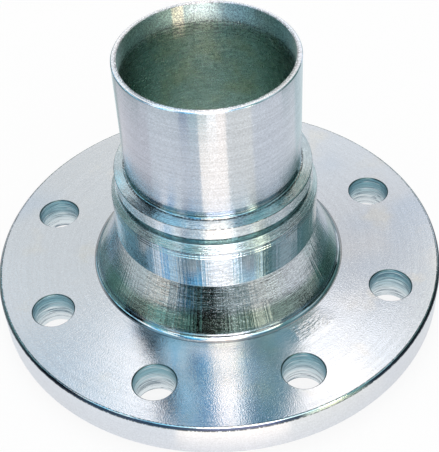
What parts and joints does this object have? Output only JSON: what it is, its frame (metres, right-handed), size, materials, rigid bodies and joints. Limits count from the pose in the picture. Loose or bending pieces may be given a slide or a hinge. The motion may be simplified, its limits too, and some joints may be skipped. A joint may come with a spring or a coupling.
{
  "type": "flanged hose tail",
  "caption": "One-piece steel pipe flange with a conical neck, a clamp collar and a plain tail that a hose is pushed over.",
  "frame": {"origin": "centre of the sealing face, on the pipe axis, where the part stands", "axes": "+Z along the pipe axis from the sealing face to the open end of the tail; +X and +Y are the flange's two centre lines, which fall between bolt holes"},
  "size_m": [0.2, 0.2, 0.1274],
  "materials": {
    "zinc_plated_steel": "turned steel with bright zinc plating, satin, with a faint blue-green tint"
  },
  "bodies": {
    "root": {"flanged_hose_tail": "zinc_plated_steel"}
  },
  "joints": []
}
